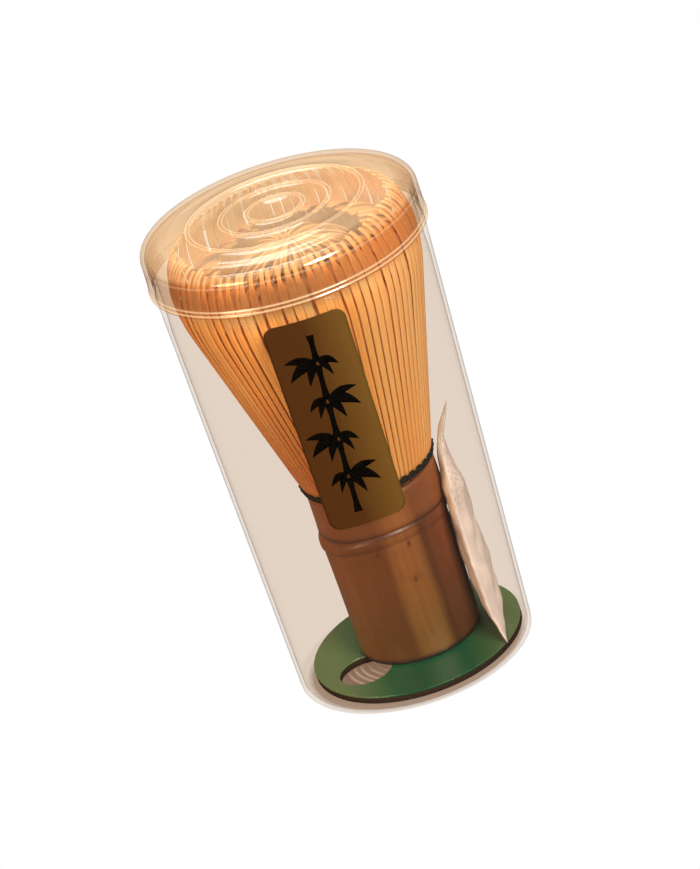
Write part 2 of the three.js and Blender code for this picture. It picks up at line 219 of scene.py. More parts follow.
class Shader:
    """A material's node tree, built by small calls that each return an output socket."""

    def __init__(self, name):
        self.material = bpy.data.materials.new(name)
        self.material.use_nodes = True
        self.tree = self.material.node_tree
        self.tree.nodes.clear()
        self.output = self.tree.nodes.new("ShaderNodeOutputMaterial")

    def node(self, kind, **settings):
        node = self.tree.nodes.new(kind)
        for key, value in settings.items():
            setattr(node, key, value)
        return node

    def feed(self, socket, value):
        if hasattr(value, "is_output"):
            self.tree.links.new(value, socket)
        else:
            socket.default_value = value

    def position(self):
        return self.node("ShaderNodeTexCoord").outputs["Object"]

    def attribute(self, name):
        return self.node("ShaderNodeAttribute", attribute_name=name).outputs["Fac"]

    def split(self, vector):
        node = self.node("ShaderNodeSeparateXYZ")
        self.feed(node.inputs[0], vector)
        return node.outputs

    def math(self, operation, a, b=0.0):
        node = self.node("ShaderNodeMath", operation=operation)
        self.feed(node.inputs[0], a)
        self.feed(node.inputs[1], b)
        return node.outputs[0]

    def times(self, a, b):
        return self.math("MULTIPLY", a, b)

    def noise(self, scale, detail, roughness=0.5, along=1.0):
        """Noise in the piece's own frame: along below 1 draws it out into streaks up the piece."""
        stretch = self.node("ShaderNodeVectorMath", operation="MULTIPLY")
        self.feed(stretch.inputs[0], self.position())
        self.feed(stretch.inputs[1], (1, 1, along))
        node = self.node("ShaderNodeTexNoise")
        self.feed(node.inputs["Vector"], stretch.outputs[0])
        node.inputs["Scale"].default_value = scale
        node.inputs["Detail"].default_value = detail
        node.inputs["Roughness"].default_value = roughness
        return node.outputs["Fac"]

    def ramp(self, value, stops):
        """Colours along a value: stops are (place, (red, green, blue))."""
        node = self.node("ShaderNodeValToRGB")
        self.feed(node.inputs[0], value)
        elements = node.color_ramp.elements
        while len(elements) < len(stops):
            elements.new(0.5)
        for element, (place, colour) in zip(elements, stops):
            element.position = place
            element.color = (*colour, 1)
        return node.outputs["Color"]

    def levels(self, value, low, high, to_low=0.0, to_high=1.0):
        """Maps low to to_low and high to to_high, and holds those values beyond."""
        node = self.node("ShaderNodeMapRange")
        self.feed(node.inputs["Value"], value)
        node.inputs["From Min"].default_value = low
        node.inputs["From Max"].default_value = high
        node.inputs["To Min"].default_value = to_low
        node.inputs["To Max"].default_value = to_high
        return node.outputs["Result"]

    def mix(self, share, a, b, blend="MIX"):
        node = self.node("ShaderNodeMix", data_type="RGBA", blend_type=blend)
        self.feed(node.inputs["Factor"], share)
        self.feed(node.inputs["A"], a if hasattr(a, "is_output") else (*a, 1))
        self.feed(node.inputs["B"], b if hasattr(b, "is_output") else (*b, 1))
        return node.outputs["Result"]

    def blend(self, share, first, second):
        """Mixes two shaders: share is how much of the second shows."""
        node = self.node("ShaderNodeMixShader")
        self.feed(node.inputs[0], share)
        self.tree.links.new(first, node.inputs[1])
        self.tree.links.new(second, node.inputs[2])
        return node.outputs[0]

    def facing(self, normal):
        """How far the surface turns away from the eye: 0 head on, 1 at a glance."""
        node = self.node("ShaderNodeLayerWeight")
        node.inputs["Blend"].default_value = 0.5
        self.feed(node.inputs["Normal"], normal)
        return node.outputs["Facing"]

    def bump(self, height, strength, distance):
        node = self.node("ShaderNodeBump")
        self.feed(node.inputs["Height"], height)
        node.inputs["Strength"].default_value = strength
        node.inputs["Distance"].default_value = distance
        return node.outputs["Normal"]

    def principled(self, **inputs):
        node = self.node("ShaderNodeBsdfPrincipled")
        for key, value in inputs.items():
            self.feed(node.inputs[key.replace("_", " ")], value)
        return node.outputs[0]

    def finish(self, surface):
        self.tree.links.new(surface, self.output.inputs["Surface"])
        return self.material


def clear_plastic(name, tint, dim_tint, edge_tint, mirror, haze, haze_colour):
    """A thin clear wall: tinted see-through, with a mirror's share that grows at a glance.

    mirror is (roughness, share head on, share added at a glance, power of the growth); haze is the
    share that scatters light. Vertices marked "line" scatter more, which paints highlights and a
    milky haze, and "dim" ones take dim_tint, which on the tube's floor is painted shadow.
    """
    s = Shader(name)
    roughness, head_on, glance, power = mirror
    edge_power, line_scatter = 18.0, 0.6
    normal = s.bump(s.noise(90, 1, along=0.35), 0.06, 0.002)
    facing = s.facing(normal)
    through = s.node("ShaderNodeBsdfTransparent")
    clear = s.mix(s.attribute("dim"), tint, dim_tint)
    s.feed(through.inputs["Color"], s.mix(s.math("POWER", facing, edge_power), clear, edge_tint))
    cloud = s.node("ShaderNodeBsdfDiffuse")
    cloud.inputs["Color"].default_value = (*haze_colour, 1)
    gloss = s.node("ShaderNodeBsdfAnisotropic")
    gloss.inputs["Roughness"].default_value = roughness
    s.feed(gloss.inputs["Normal"], normal)
    scatter = s.levels(s.attribute("line"), 0, 1, haze, line_scatter)
    body = s.blend(scatter, through.outputs[0], cloud.outputs[0])
    share = s.times(s.math("POWER", facing, power), glance)
    return s.finish(s.blend(s.math("ADD", share, head_on), body, gloss.outputs[0]))


# ---- Mesh building ----


def whisk_placement():
    """The whisk's own frame: it stands on the pad, leaning a little to the front and left."""
    axis = (WHISK_HEAD - WHISK_FOOT).normalized()
    turn = Vector((0, 0, 1)).rotation_difference(axis)
    return Matrix.Translation(WHISK_FOOT * MM) @ turn.to_matrix().to_4x4()


def crown_placement():
    """The crown of tines, which leans a little more than the handle it grows from."""
    shift = Matrix.Translation((CROWN_SHIFT * MM, 0, 0))
    return whisk_placement() @ shift @ Matrix.Rotation(-CROWN_LEAN * DEGREE, 4, "Y")


def sachet_placement():
    swing = Matrix.Rotation(-SACHET_SWING * DEGREE, 4, "X")
    lean = Matrix.Rotation(SACHET_LEAN * DEGREE, 4, "Y")
    return Matrix.Translation(SACHET_FOOT * MM) @ swing @ lean


def add_piece(name, vertices, faces, material, body, slot, replaces=(), placement=None, values=None):
    """Makes a mesh object from millimetre vertices, ties it to its body and hides the CAD nodes it replaces.
    """
    mesh = bpy.data.meshes.new(name)
    mesh.from_pydata([tuple(v) for v in np.asarray(vertices) * MM], [], faces)
    mesh.validate()
    mesh.materials.append(material)
    mesh.polygons.foreach_set("use_smooth", [True] * len(mesh.polygons))
    for key, numbers in (values or {}).items():
        mesh.attributes.new(key, "FLOAT", "POINT").data.foreach_set("value", numbers)
    piece = bpy.data.objects.new(name, mesh)
    bpy.context.collection.objects.link(piece)
    if placement is not None:
        piece.matrix_world = placement
    bpy.context.view_layer.update()
    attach(piece, body)
    if replaces:
        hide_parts(*replaces)
    return piece


def arc(centre_r, centre_z, radius, start, end, steps):
    """Points round a corner, from one angle to another in degrees."""
    angles = np.linspace(start, end, steps + 1) * DEGREE
    return [(centre_r + radius * math.cos(a), centre_z + radius * math.sin(a)) for a in angles]


def revolve(profile, segments=CANISTER_SIDES, warp=None):
    """Turns a profile of (radius, height) points, which starts and ends on the axis, about Z."""
    angles = np.arange(segments) * FULL_TURN / segments
    vertices, rings = [], []
    for radius, height in profile:
        if radius == 0:
            rings.append([len(vertices)])
            vertices.append((0, 0, height))
            continue
        start = len(vertices)
        rings.append(list(range(start, start + segments)))
        for angle in angles:
            point = (radius * math.cos(angle), radius * math.sin(angle), height)
            vertices.append(warp(point, angle) if warp else point)
    faces = []
    for lower, upper in zip(rings, rings[1:]):
        for i in range(segments):
            j = (i + 1) % segments
            if len(lower) == 1:
                faces.append((lower[0], upper[j], upper[i]))
            elif len(upper) == 1:
                faces.append((lower[i], lower[j], upper[0]))
            else:
                faces.append((lower[i], lower[j], upper[j], upper[i]))
    return vertices, faces


def on_rings(profile, value):
    """A value for every vertex of a revolved profile: value gives it for (radius, height)."""
    values = []
    for radius, height in profile:
        values += [float(value(radius, height))] * (1 if radius == 0 else CANISTER_SIDES)
    return values


def sweep(rings, closed=False):
    """Joins equal rings of points into a tube, with end caps unless it is closed."""
    count, width = len(rings), len(rings[0])
    vertices = [point for ring in rings for point in ring]
    faces = []
    for k in range(count if closed else count - 1):
        a, b = k * width, ((k + 1) % count) * width
        for i in range(width):
            j = (i + 1) % width
            faces.append((a + i, a + j, b + j, b + i))
    if not closed:
        faces.append(tuple(range(width))[::-1])
        faces.append(tuple((count - 1) * width + i for i in range(width)))
    return vertices, faces


def sheet_faces(rows, columns):
    """Faces of a thin sheet: a grid of points, the grid of its other side, and the rim between."""
    layer, faces = rows * columns, []
    for r in range(rows - 1):
        for c in range(columns - 1):
            i = r * columns + c
            j = layer + i
            faces.append((i, i + 1, i + columns + 1, i + columns))
            faces.append((j, j + columns, j + columns + 1, j + 1))
    rim = list(range(columns))
    rim += [r * columns + columns - 1 for r in range(1, rows)]
    rim += [(rows - 1) * columns + c for c in range(columns - 2, -1, -1)]
    rim += [r * columns for r in range(rows - 2, 0, -1)]
    for i, j in zip(rim, rim[1:] + rim[:1]):
        faces.append((j, i, layer + i, layer + j))
    return faces


class Pile:
    """Gathers several closed shapes into one mesh, with a value for each vertex."""

    def __init__(self):
        self.vertices, self.faces, self.values = [], [], {}

    def add(self, vertices, faces, **values):
        start = len(self.vertices)
        self.vertices += vertices
        self.faces += [tuple(start + i for i in face) for face in faces]
        for key, value in values.items():
            numbers = value if hasattr(value, "__len__") else [value] * len(vertices)
            self.values.setdefault(key, []).extend(numbers)


# ---- Canister ----


def tube_radius(z):
    return TUBE_BASE_RADIUS + (TUBE_SHOULDER_RADIUS - TUBE_BASE_RADIUS) * z / TUBE_SHOULDER_Z


def tube_profile():
    """From the middle of the underside, up the outer face, over the rim and down inside."""
    foot, inside, lip, shoulder, hollow = 1.2, 0.9, 0.3, 0.4, 0.25
    bore = NECK_RADIUS - TUBE_WALL
    wall_heights = np.linspace(foot, TUBE_SHOULDER_Z - shoulder, 24)[1:]
    profile = [(0, hollow), (18, hollow), (20, 0.02), (25, 0)]
    profile += arc(TUBE_BASE_RADIUS - foot, foot, foot, -90, 0, 8)
    profile += [(tube_radius(z), z) for z in (1.8, *wall_heights)]
    profile += [(NECK_RADIUS + 0.1, TUBE_SHOULDER_Z - 0.05), (NECK_RADIUS, TUBE_SHOULDER_Z + 0.1)]
    profile += arc(NECK_RADIUS - lip, TUBE_RIM_Z - lip, lip, 0, 90, 4)
    profile += arc(bore + lip, TUBE_RIM_Z - lip, lip, 90, 180, 4)
    profile += [(bore, TUBE_SHOULDER_Z - 1)]
    profile += [(tube_radius(z) - TUBE_WALL, z) for z in wall_heights[-3::-1]]
    profile += arc(TUBE_BASE_RADIUS - TUBE_WALL - inside, TUBE_FLOOR + inside, inside, 0, -90, 6)
    for radius in FLOOR_RIDGE_RADII[::-1]:
        for offset in np.linspace(2.4, -2.4, 13):
            lift = FLOOR_RIDGE_HEIGHT * math.cos(min(1.0, abs(offset) / 1.1) * math.pi / 2) ** 2
            profile.append((radius + offset, TUBE_FLOOR + lift))
    return profile + [(0, TUBE_FLOOR)]


def floor_painted_highlights(radius, height):
    """Painted highlights: pale lines on each floor ridge and one to either side of it, like ribs catching the
    light in turn.
    """
    rib_pitch, reach, brightest = 1.6, 2.5, 0.5
    away = min(abs(radius - ridge) for ridge in FLOOR_RIDGE_RADII)
    on_floor = TUBE_FLOOR <= height < FOOT_TOP_Z and away < reach
    return brightest * (0.5 + 0.5 * math.cos(away / rib_pitch * FULL_TURN)) ** 2 * on_floor


def floor_shade(radius, height):
    """Painted shadow under the pad: the floor is dim right across, and its rounded edge only a little."""
    edge_share = 0.1
    return (1.0 if radius < FLOOR_DIM_RADIUS else edge_share) * (height < FOOT_TOP_Z)


def make_tube():
    profile = tube_profile()
    # The dim tint on the floor is painted shadow under the pad, and the floor's pale lines are painted
    # highlights.
    plastic = clear_plastic("tube_plastic", (0.939, 0.901, 0.864), (0.5, 0.4, 0.33), (0.5, 0.41, 0.36),
                            (0.06, 0.004, 0.3, 12), 0.004, (0.9, 0.82, 0.76))
    marks = {"dim": on_rings(profile, floor_shade), "line": on_rings(profile, floor_painted_highlights)}
    add_piece("tube_shell", *revolve(profile), plastic, "canister", "clear_plastic", ["tube"],
              values=marks)


def lid_profile():
    """From the middle of the lid's underside, out and down the bore, round the rim and up over."""
    bore = NECK_RADIUS + 0.3
    underside_z = LID_SHOULDER_Z - LID_WALL
    bend = LID_CORNER - 0.6
    profile = [(0, LID_PANEL_Z - LID_WALL), (LID_PANEL_RADIUS - 0.4, LID_PANEL_Z - LID_WALL)]
    profile += [(LID_SHOULDER_INNER_RADIUS - 0.3, underside_z)]
    profile += arc(bore - bend, underside_z - bend, bend, 90, 0, 8)
    profile += [(bore, LID_SKIRT_Z + 3), (bore, LID_SKIRT_Z + 0.2), (bore + 0.2, LID_SKIRT_Z)]
    bead = 0.42
    profile += arc(LID_RADIUS - bead, LID_SKIRT_Z + bead, bead, -90, 60, 6)
    profile += [(LID_RADIUS - 0.28, LID_SKIRT_Z + 1.05)]
    profile += arc(LID_RADIUS - 0.42, LID_SKIRT_Z + 1.55, 0.22, -60, 60, 4)
    profile += [(LID_RADIUS - 0.3, LID_SKIRT_Z + 2.1)]
    profile += [(LID_CORNER_RADIUS, LID_CORNER_Z - 0.4)]
    profile += arc(LID_CORNER_RADIUS - LID_CORNER, LID_CORNER_Z, LID_CORNER, 0, 90, 10)
    for share in np.linspace(0, 1, 9):
        radius = LID_SHOULDER_INNER_RADIUS + (LID_PANEL_RADIUS - LID_SHOULDER_INNER_RADIUS) * share
        rise = (LID_PANEL_Z - LID_SHOULDER_Z) * (1 - math.cos(share * math.pi)) / 2
        profile.append((radius, LID_SHOULDER_Z + rise))
    for radius in LID_RING_RADII[::-1]:
        for offset in np.linspace(LID_RING_HALF_WIDTH, -LID_RING_HALF_WIDTH, 13):
            twin = abs(math.sin(offset / LID_RING_HALF_WIDTH * math.pi)) ** 1.2
            profile.append((radius + offset, LID_PANEL_Z + LID_RING_HEIGHT * twin))
    return profile + [(0, LID_PANEL_Z)]


def lid_painted_lines_and_haze(radius, height):
    """Painted highlights as pale lines on the rings, the rolled rim and the corner, and a milky panel and
    shoulder.
    """
    bright, corner, panel, shoulder = 0.52, 0.3, 0.24, 0.12
    above_skirt = height - LID_SKIRT_Z
    crest = height > LID_PANEL_Z + 0.2
    rim = abs(above_skirt - 0.7) < 0.15 or abs(above_skirt - 1.6) < 0.15
    if crest or (rim and radius > LID_RADIUS - 0.5):
        return bright
    if abs(height - LID_CORNER_Z) < 0.1 and radius > LID_CORNER_RADIUS - 0.1:
        return corner
    if height > LID_SHOULDER_Z - 1.5:
        return panel if radius < LID_SHOULDER_INNER_RADIUS else shoulder
    return 0.0


def lid_shade(radius, height):
    """The lid is dimmer outside its shoulder than in its panel."""
    return radius > LID_DIM_RADIUS


def make_lid():
    profile = lid_profile()
    plastic = clear_plastic("lid_plastic", (0.985, 0.93, 0.86), (0.925, 0.81, 0.7), (0.5, 0.34, 0.25),
                            (0.12, 0.05, 0.4, 6), 0.015, (0.96, 0.78, 0.52))
    marks = {"line": on_rings(profile, lid_painted_lines_and_haze), "dim": on_rings(profile, lid_shade)}
    add_piece("lid_shell", *revolve(profile), plastic, "lid", "lid_plastic", ["lid"], values=marks)


def on_label(across, up, lift):
    """A point on the label: across and up from its middle, lifted off the tube's wall."""
    tilt = LABEL_TILT * DEGREE
    x = across * math.cos(tilt) - up * math.sin(tilt)
    z = LABEL_CENTRE_Z + up * math.cos(tilt) + across * math.sin(tilt)
    radius = tube_radius(z) + lift
    azimuth = LABEL_AZIMUTH * DEGREE + x / tube_radius(LABEL_CENTRE_Z)
    return (radius * math.sin(azimuth), -radius * math.cos(azimuth), z)


def label_foil():
    s = Shader("label_foil")
    x, _, z = s.split(s.position())
    # Painted reflection: the foil darkens to the left and brightens to the right across the label; the grain
    # adds random tone.
    side = s.levels(x, -0.0105, 0.0082)
    grain = s.noise(900, 4, 0.6, along=0.2)
    shade = s.math("ADD", side, s.times(s.math("SUBTRACT", grain, 0.5), 0.12))
    colour = s.ramp(shade, [(0.0, (0.055, 0.019, 0.002)), (0.45, (0.058, 0.021, 0.003)),
                            (1.0, (0.135, 0.068, 0.012))])
    return s.finish(s.principled(Base_Color=colour, Roughness=0.42, Metallic=0.25,
                                 Specular_IOR_Level=0.2, Normal=s.bump(grain, 0.15, 0.0001)))


def label_ink_paint():
    s = Shader("label_ink")
    colour = s.ramp(s.noise(1400, 3), [(0.3, (0.001, 0.001, 0.001)), (0.8, (0.004, 0.003, 0.002))])
    return s.finish(s.principled(Base_Color=colour, Roughness=0.7, Specular_IOR_Level=0.0))


def make_label():
    """A thin sheet with rounded corners, which follows the tube's wall."""
    rows, columns, corner_rows = 40, 24, 8
    straight, half_width = LABEL_HEIGHT / 2 - LABEL_CORNER, LABEL_WIDTH / 2
    corner_angles = np.linspace(90, 0, corner_rows + 1) * DEGREE
    heights = [straight + LABEL_CORNER * math.sin(angle) for angle in corner_angles]
    heights += list(np.linspace(straight, -straight, rows)[1:-1])
    heights += [-h for h in heights[corner_rows::-1]]
    grid = []
    for up in heights:
        past = max(0.0, abs(up) - straight)
        inset = LABEL_CORNER - math.sqrt(max(0.0, LABEL_CORNER**2 - past**2))
        grid += [(share * (half_width - inset), up) for share in np.linspace(-1, 1, columns)]
    vertices = [on_label(across, up, lift) for lift in (0.16, 0.04) for across, up in grid]
    faces = [(a, d, c, b) for a, b, c, d in sheet_faces(len(heights), columns)]
    add_piece("label_sheet", vertices, faces, label_foil(), "canister", "label_foil", ["label"])


def brush_stroke(pile, points, widths):
    """A stroke of ink: a smooth path through a few points, with its half-width along it."""
    steps, top, underside = 22, 0.2, 0.17
    path = np.array(points, float)
    last = len(path) - 1
    places = np.linspace(0, last, steps)
    fit = [np.polyfit(np.arange(last + 1), path[:, k], min(3, last)) for k in (0, 1)]
    line = np.stack([np.polyval(f, places) for f in fit], 1)
    half = np.interp(places, np.linspace(0, len(path) - 1, len(widths)), widths)
    along = np.gradient(line, axis=0)
    along /= np.linalg.norm(along, axis=1)[:, None]
    side = np.stack([-along[:, 1], along[:, 0]], 1)
    rings = []
    for point, normal, width in zip(line, side, half):
        row = [point + normal * width * k for k in (-1, -0.5, 0, 0.5, 1)]
        rings.append([on_label(*p, top) for p in row] + [on_label(*p, underside) for p in row[::-1]])
    pile.add(*sweep(rings))


def make_label_ink():
    """A sprig of bamboo in brush strokes: one jointed cane, with leaves hanging at its joints."""
    pile = Pile()
    lean, offset, gap = 0.05, -0.6, 0.45
    joints = (-23, -13.5, -4, 5.5, 15, 22.5)
    for low, high in zip(joints, joints[1:]):
        cane = [(lean * z + offset, z) for z in (low + gap, (low + high) / 2, high - gap)]
        brush_stroke(pile, cane, [0.95, 0.6, 0.55, 0.85])
    # Each leaf is (angle from level in degrees, length, half-width).
    leaves = ((8, 7.0, 0.95), (-28, 7.6, 1.25), (-62, 6.2, 1.05), (205, 4.8, 0.9), (238, 5.0, 0.8))
    for joint, side in zip(joints[1:-1], (1, -1, 1, -1)):
        root = lean * joint + offset
        for angle, length, width in leaves:
            reach = side * length * math.cos(angle * DEGREE)
            drop = length * math.sin(angle * DEGREE)
            leaf = [(root + reach * 0.08, joint + 1), (root + reach * 0.55, joint + 1.3 + drop * 0.45),
                    (root + reach, joint + 0.6 + drop)]
            brush_stroke(pile, leaf, [0.15, 0.8 * width, width, 0.6 * width, 0.05])
    add_piece("label_sprig", pile.vertices, pile.faces, label_ink_paint(), "canister", "label_foil")


# ---- Whisk ----


def crown_radius(z):
    """The outer face of the outer tines, up to where they are widest."""
    straight = FLARE_START_RADIUS + FLARE_SLOPE * (z - TINE_ROOT_Z)
    past = max(0.0, z - FLARE_END_Z)
    flare = straight - FLARE_SLOPE * past**2 / (2 * (CROWN_WIDEST_Z - FLARE_END_Z))
    pinch = max(0.0, 1 - (z - TINE_ROOT_Z) / (TINE_SPLIT_Z - TINE_ROOT_Z))
    return flare - (FLARE_START_RADIUS - CROWN_ROOT_RADIUS) * pinch


def curled_path(turn):
    """Radius and height up an outer tine, whose end turns over by so many degrees."""
    path = [(crown_radius(z), z) for z in np.linspace(TINE_ROOT_Z, CROWN_WIDEST_Z, 17)]
    reach = path[-1][0] - CURL_CENTRE_RADIUS
    rise = TINE_TIP_Z - CROWN_WIDEST_Z
    for angle in np.linspace(0, turn, 14)[1:] * DEGREE:
        path.append((CURL_CENTRE_RADIUS + reach * math.cos(angle), CROWN_WIDEST_Z + rise * math.sin(angle)))
    return path


def drawn_in_path(top, end_radius):
    """Radius and height up an inner tine, which stands upright and lies over at its end."""
    shoulder_z, bulge_rise = 97, 25
    reach = CORE_ROOT_RADIUS + CORE_BULGE
    path = []
    for z in np.linspace(TINE_ROOT_Z, shoulder_z, 14):
        share = min(1.0, (z - TINE_ROOT_Z) / bulge_rise)
        path.append((CORE_ROOT_RADIUS + CORE_BULGE * math.sin(share * math.pi / 2), z))
    for turn in np.linspace(0, 90, 12)[1:] * DEGREE:
        path.append((end_radius + (reach - end_radius) * math.cos(turn),
                     shoulder_z + (top - shoulder_z) * math.sin(turn)))
    return path


def folded_path(top, end_radius):
    """Radius and height up a hidden tine, which follows the outer ones and folds in below them."""
    fold_z, fold_turn = 93, 82
    path = []
    for z in np.linspace(TINE_ROOT_Z, fold_z, 15):
        behind = 1.3 - 0.7 * min(1.0, (z - TINE_ROOT_Z) / 22)
        path.append((crown_radius(z) - behind, z))
    reach = path[-1][0] - end_radius
    for turn in np.linspace(0, fold_turn, 12)[1:] * DEGREE:
        path.append((end_radius + reach * math.cos(turn), fold_z + (top - fold_z) * math.sin(turn)))
    return path


def tine_width(share):
    """Half the width of an outer tine: broadest below the curl, and narrow where it turns over."""
    broad = 0.52 + 0.4 * min(1.0, share / 0.72) + 0.14 * min(1.0, max(0.0, share - 0.8) / 0.05)
    return broad - 0.54 * min(1.0, max(0.0, share - 0.92) / 0.025)


def tine_solid(path, angle, half_width, thickness, bend, twist):
    """One tine along a path of (radius, height), as a flat strip with softened corners.

    half_width and thickness give millimetres for a share of the way up; bend moves the upper part
    outward and twist turns it about the axis. Returns vertices, faces and the values along and
    across the tine.
    """
    path = np.array(path)
    steps = np.linalg.norm(np.diff(path, axis=0), axis=1)
    shares = np.concatenate([[0], np.cumsum(steps)]) / steps.sum()
    along = np.gradient(path, axis=0)
    along /= np.linalg.norm(along, axis=1)[:, None]
    rings = []
    for (radius, height), (run, climb), share in zip(path, along, shares):
        turn = angle + twist * share**2
        wide, thick = half_width(share), thickness(share)
        section = [(-wide, -0.3), (-0.75 * wide, 0), (0.75 * wide, 0), (wide, -0.3),
                   (wide, -0.7), (0.8 * wide, -1), (-0.8 * wide, -1), (-wide, -0.7)]
        ring = []
        for across, depth in section:
            r = radius + bend * share**3 + climb * depth * thick
            z = height - run * depth * thick
            ring.append((r * math.cos(turn) - across * math.sin(turn),
                         r * math.sin(turn) + across * math.cos(turn), z))
        rings.append(ring)
    vertices, faces = sweep(rings)
    values = {"along": [float(share) for share in shares for _ in range(8)],
              "across": [-1, -0.75, 0.75, 1, 1, 0.8, -0.8, -1] * len(shares)}
    return vertices, faces, values


def culm_bamboo():
    """Smoked bamboo skin: streaks up the culm, dark flecks and a darker node, with painted highlight and
    shade in bands round it and a painted shadow at its foot.
    """
    s = Shader("culm_bamboo")
    x, y, z = s.split(s.position())
    streaks = s.noise(900, 5, 0.65, along=0.03)
    broad = s.noise(120, 3, along=0.12)
    mottle = s.noise(260, 4, 0.6, along=0.6)
    # Painted highlight and shade by the angle round the culm: dark left of the front, a bright band just
    # right of it, a sharp dark edge past that and paler far sides. The broad noise adds random tone.
    angle = s.math("ARCTAN2", x, s.times(y, -1.0))
    painted_light_and_tone = s.math("ADD", s.levels(angle, -1.6, 1.6), s.levels(broad, 0.3, 0.7, -0.04, 0.04))
    base = s.ramp(painted_light_and_tone, [(0.0, (0.24, 0.092, 0.025)), (0.15, (0.2, 0.078, 0.02)),
                         (0.3, (0.13, 0.048, 0.01)), (0.42, (0.1, 0.034, 0.006)),
                         (0.52, (0.2, 0.088, 0.024)), (0.61, (0.21, 0.095, 0.026)),
                         (0.66, (0.08, 0.025, 0.006)), (0.8, (0.14, 0.045, 0.014)),
                         (0.9, (0.26, 0.095, 0.04)), (1.0, (0.26, 0.095, 0.04))])
    base = s.mix(s.levels(z, 0.024, 0.008, 0, 0.9), base, (0.72, 0.92, 0.7), "MULTIPLY")
    base = s.mix(s.levels(streaks, 0.35, 0.75), base, (0.42, 0.3, 0.2), "SOFT_LIGHT")
    base = s.mix(s.levels(mottle, 0.58, 0.75, 0, 0.5), base, (0.07, 0.03, 0.012))
    base = s.mix(s.levels(z, 0.0335, 0.0365, 0, 0.4), base, (0.27, 0.1, 0.03))
    # Painted shadow: the culm's foot turns nearly black, fading out by 1.6 mm up.
    base = s.mix(s.levels(z, 0.0016, 0.0006), base, (0.012, 0.006, 0.003))
    front = s.math("LESS_THAN", y, 0.0)
    for fleck_x, fleck_z in ((0.0029, 0.0205), (-0.0035, 0.0294), (0.004, 0.0297)):
        away_x = s.times(s.math("SUBTRACT", x, fleck_x), 2300.0)
        away_z = s.times(s.math("SUBTRACT", z, fleck_z), 1300.0)
        away = s.math("SQRT", s.math("ADD", s.math("POWER", away_x, 2.0), s.math("POWER", away_z, 2.0)))
        spot = s.times(front, s.levels(away, 0.5, 1.2, 0.7, 0.0))
        base = s.mix(spot, base, (0.03, 0.012, 0.005))
    from_groove = s.math("ABSOLUTE", s.math("SUBTRACT", z, 0.0336))
    base = s.mix(s.levels(from_groove, 0.0002, 0.0009, 0.75, 0.0), base, (0.06, 0.016, 0.006))
    rough = s.levels(streaks, 0.2, 0.8, 0.3, 0.5)
    return s.finish(s.principled(Base_Color=base, Roughness=rough, Coat_Weight=0.06,
                                 Coat_Roughness=0.35, Normal=s.bump(streaks, 0.25, 0.00012)))


def tine_bamboo(name, root, body, tip, tip_start, painted_bend_shade_tint):
    """Split bamboo: fine fibres along each tine, a tone of its own for each, and a pale tip.

    Painted shade makes the tines browner where they bend over and darker low on the left, a painted
    highlight makes them paler on the right, and painted shade darkens the seams between them.
    """
    s = Shader(name)
    along, tone = s.attribute("along"), s.attribute("tone")
    across = s.math("ABSOLUTE", s.attribute("across"))
    x = s.split(s.position())[0]
    fibres = s.noise(2600, 3, 0.6, along=0.05)
    colour = s.ramp(along, [(0.0, root), (0.025, root), (0.05, body), (tip_start, body),
                            (tip_start + 0.03, tip), (1.0, tip)])
    colour = s.mix(s.levels(along, 0.78, 0.84, 0, 0.3), colour, (0.98, 0.74, 0.42))
    # Painted shade where the tines bend over, less on the right and on the far left.
    bend = s.times(s.levels(along, 0.8, 0.85), s.levels(along, 0.92, 0.95, 1.0, 0.0))
    bend = s.times(bend, s.levels(x, 0.0, 0.022, 1.0, 0.1))
    bend = s.times(bend, s.levels(x, -0.02, -0.008, 0.6, 1.0))
    colour = s.mix(bend, colour, painted_bend_shade_tint, "MULTIPLY")
    colour = s.mix(s.levels(tone, 0, 1, 0, 0.5), colour, (0.5, 0.2, 0.05), "SOFT_LIGHT")
    colour = s.mix(s.levels(fibres, 0.55, 0.8, 0, 0.45), colour, (0.3, 0.11, 0.03))
    # Painted shade: the tines are darker and redder low on the left.
    painted_shade_low_left = s.times(s.levels(x, 0.0, -0.012), s.levels(along, 0.55, 0.15))
    colour = s.mix(painted_shade_low_left, colour, (0.66, 0.49, 0.37), "MULTIPLY")
    # Painted highlight: the tines are paler on the right.
    colour = s.mix(s.levels(x, 0.009, 0.02, 0, 0.4), colour, (0.98, 0.68, 0.34))
    # Painted shade: the tines' edges and the split down each are darkened, more on the left than on the
    # right.
    split = s.times(s.levels(across, 0.0, 0.16, 0.7, 0.0), s.levels(tone, 0.1, 0.4))
    seam = s.math("MAXIMUM", split, s.levels(across, 0.8, 1.0, 0.0, 0.6))
    colour = s.mix(s.times(s.levels(x, -0.02, 0.02, 0.9, 0.3), seam), colour, (0.36, 0.14, 0.04))
    return s.finish(s.principled(Base_Color=colour, Roughness=0.45, Normal=s.bump(fibres, 0.3, 0.0001)))


def thread_cotton():
    s = Shader("black_thread")
    twist = s.node("ShaderNodeTexWave", wave_type="BANDS", bands_direction="DIAGONAL")
    s.feed(twist.inputs["Vector"], s.position())
    twist.inputs["Scale"].default_value = 900
    twist.inputs["Distortion"].default_value = 2
    fuzz = twist.outputs["Fac"]
    colour = s.ramp(fuzz, [(0.2, (0.004, 0.003, 0.002)), (0.9, (0.02, 0.016, 0.011))])
    return s.finish(s.principled(Base_Color=colour, Roughness=0.8, Specular_IOR_Level=0.15,
                                 Normal=s.bump(fuzz, 0.5, 0.0001)))


